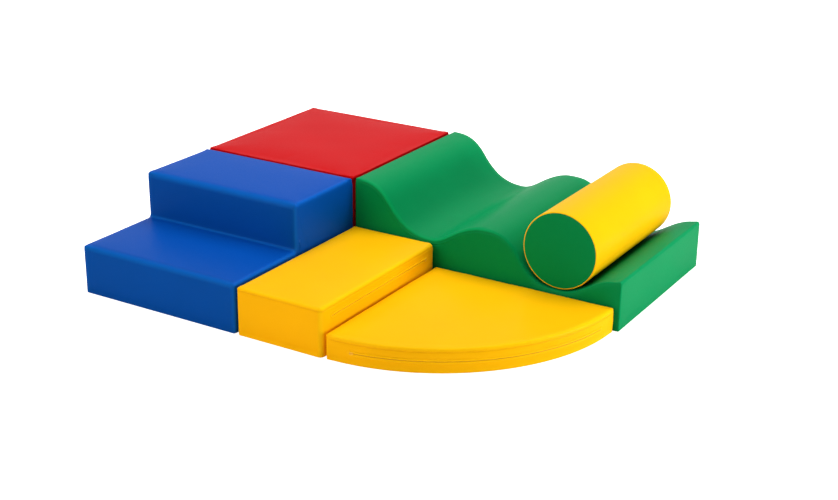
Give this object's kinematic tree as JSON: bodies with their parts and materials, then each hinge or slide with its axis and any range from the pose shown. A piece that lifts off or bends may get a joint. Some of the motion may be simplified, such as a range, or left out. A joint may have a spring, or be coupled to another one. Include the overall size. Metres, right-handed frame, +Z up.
{
  "type": "soft play foam climber",
  "caption": "Soft play climber of loose foam modules: a stepped block, a square platform, a wavy slope with a roller in its valley, a low block and a quarter-round mat.",
  "frame": {"origin": "on the floor, under the middle of the whole set", "axes": "+X along the wave, from the platform to the wave's low end; +Y from the stair's front to the platform's back; +Z up"},
  "size_m": [1.489, 1.214, 0.3225],
  "materials": {
    "blue_cover": "satin",
    "red_cover": "satin",
    "green_cover": "satin",
    "yellow_cover": "satin",
    "foam": "matte",
    "non_slip_base": "matte",
    "blue_zip_tape": "matte",
    "red_zip_tape": "matte",
    "green_zip_tape": "matte",
    "yellow_zip_tape": "matte",
    "blue_zip_slider": "gloss",
    "red_zip_slider": "gloss",
    "green_zip_slider": "gloss",
    "yellow_zip_slider": "gloss",
    "hook_strip": "matte",
    "loop_strip": "matte"
  },
  "bodies": {
    "wave": {"wave_cover": "green_cover", "wave_foam": "foam", "wave_base_panel": "non_slip_base", "wave_zip_tape": "green_zip_tape", "wave_end_loop_strip": "loop_strip", "wave_front_left_loop_strip": "loop_strip", "wave_front_right_loop_strip": "loop_strip"},
    "platform": {"platform_cover": "red_cover", "platform_foam": "foam", "platform_base_panel": "non_slip_base", "platform_zip_tape": "red_zip_tape", "platform_front_loop_strip": "loop_strip", "platform_side_hook_strip": "hook_strip"},
    "stair": {"stair_cover": "blue_cover", "stair_lower_foam": "foam", "stair_upper_foam": "foam", "stair_base_panel": "non_slip_base", "stair_zip_tape": "blue_zip_tape", "stair_back_hook_strip": "hook_strip", "stair_side_hook_strip": "hook_strip"},
    "low_block": {"low_block_cover": "yellow_cover", "low_block_foam": "foam", "low_block_base_panel": "non_slip_base", "low_block_zip_tape": "yellow_zip_tape", "low_block_left_loop_strip": "loop_strip", "low_block_back_hook_strip": "hook_strip", "low_block_right_hook_strip": "hook_strip"},
    "quarter_mat": {"quarter_mat_cover": "yellow_cover", "quarter_mat_foam": "foam", "quarter_mat_base_panel": "non_slip_base", "quarter_mat_zip_tape": "yellow_zip_tape", "quarter_mat_back_hook_strip": "hook_strip", "quarter_mat_side_loop_strip": "loop_strip"},
    "roller": {"roller_cover": "yellow_cover", "roller_front_disc": "green_cover", "roller_back_disc": "green_cover", "roller_foam": "foam", "roller_zip_tape": "yellow_zip_tape"},
    "stair_zip_runner": {"stair_zip_slider": "blue_zip_slider"},
    "platform_zip_runner": {"platform_zip_slider": "red_zip_slider"},
    "wave_zip_runner": {"wave_zip_slider": "green_zip_slider"},
    "low_block_zip_runner": {"low_block_zip_slider": "yellow_zip_slider"},
    "quarter_mat_zip_runner": {"quarter_mat_zip_slider": "yellow_zip_slider"},
    "roller_zip_runner": {"roller_zip_slider": "yellow_zip_slider"}
  },
  "joints": [
    {"name": "platform_pull", "type": "slide", "parent": "wave", "child": "platform", "axis": [-1, 0, 0], "range_m": [0, 0.3]},
    {"name": "stair_pull", "type": "slide", "parent": "wave", "child": "stair", "axis": [0, -1, 0], "range_m": [0, 0.3]},
    {"name": "low_block_pull", "type": "slide", "parent": "wave", "child": "low_block", "axis": [0, -1, 0], "range_m": [0, 0.3]},
    {"name": "quarter_mat_pull", "type": "slide", "parent": "wave", "child": "quarter_mat", "axis": [0, -1, 0], "range_m": [0, 0.3]},
    {"name": "roller_spin", "type": "hinge", "parent": "wave", "child": "roller", "pos_m": [0.53948, 0.289, 0.20404], "axis": [0, 1, 0], "continuous": true},
    {"name": "stair_zip", "type": "slide", "parent": "stair", "child": "stair_zip_runner", "axis": [0, 1, 0], "range_m": [0, 0.487]},
    {"name": "platform_zip", "type": "slide", "parent": "platform", "child": "platform_zip_runner", "axis": [1, 0, 0], "range_m": [0, 0.462]},
    {"name": "wave_zip", "type": "slide", "parent": "wave", "child": "wave_zip_runner", "axis": [1, 0, 0], "range_m": [0, 0.797]},
    {"name": "low_block_zip", "type": "slide", "parent": "low_block", "child": "low_block_zip_runner", "axis": [0, -1, 0], "range_m": [0, 0.487]},
    {"name": "quarter_mat_zip", "type": "hinge", "parent": "quarter_mat", "child": "quarter_mat_zip_runner", "pos_m": [0.1335, -0.007, 0.036], "axis": [0, 0, 1], "range_deg": [0, 73.7]},
    {"name": "roller_zip", "type": "slide", "parent": "roller", "child": "roller_zip_runner", "axis": [0, -1, 0], "range_m": [0, 0.445]}
  ]
}
